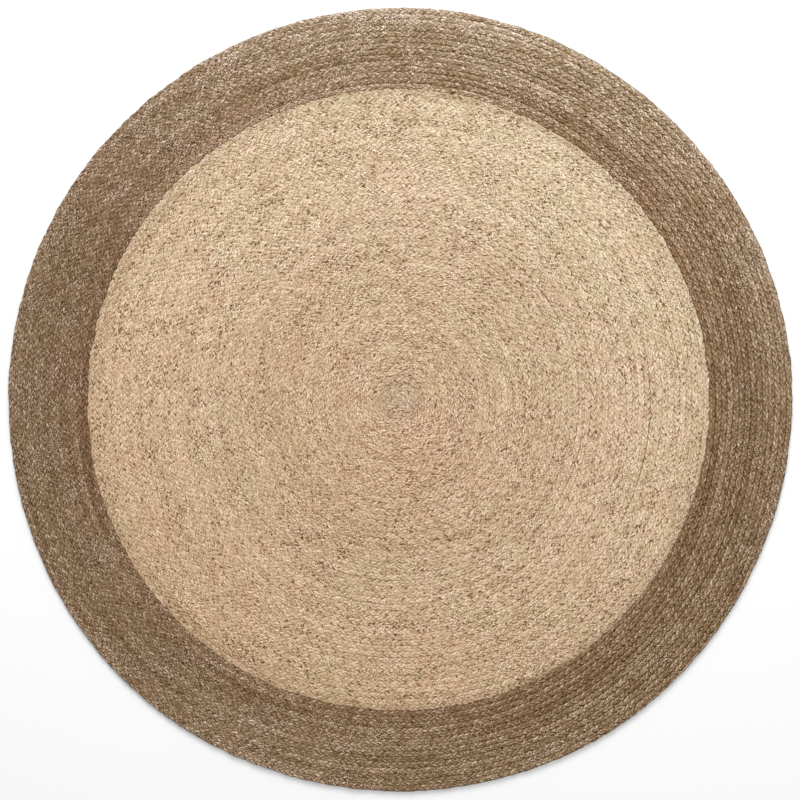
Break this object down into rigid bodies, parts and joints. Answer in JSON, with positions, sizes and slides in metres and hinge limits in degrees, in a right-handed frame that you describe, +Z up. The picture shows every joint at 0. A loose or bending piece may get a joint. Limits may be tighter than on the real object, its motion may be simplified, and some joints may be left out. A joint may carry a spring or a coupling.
{
  "type": "round braided jute rug",
  "caption": "Round flat floor rug of coiled jute braid, natural in the middle with a wide brown border, lying flat.",
  "frame": {"origin": "centre of the rug on the floor it lies on", "axes": "+Z up out of the floor, the rug flat in X and Y; the end of the braid tapers away just clockwise of +X"},
  "size_m": [1.5002, 1.4996, 0.009],
  "materials": {
    "natural_jute": "coarse undyed jute braid, matt and fibrous",
    "brown_jute": "coarse brown dyed jute braid, matt and fibrous"
  },
  "bodies": {
    "root": {"natural_coil": "natural_jute", "brown_border_coil": "brown_jute"}
  },
  "joints": []
}
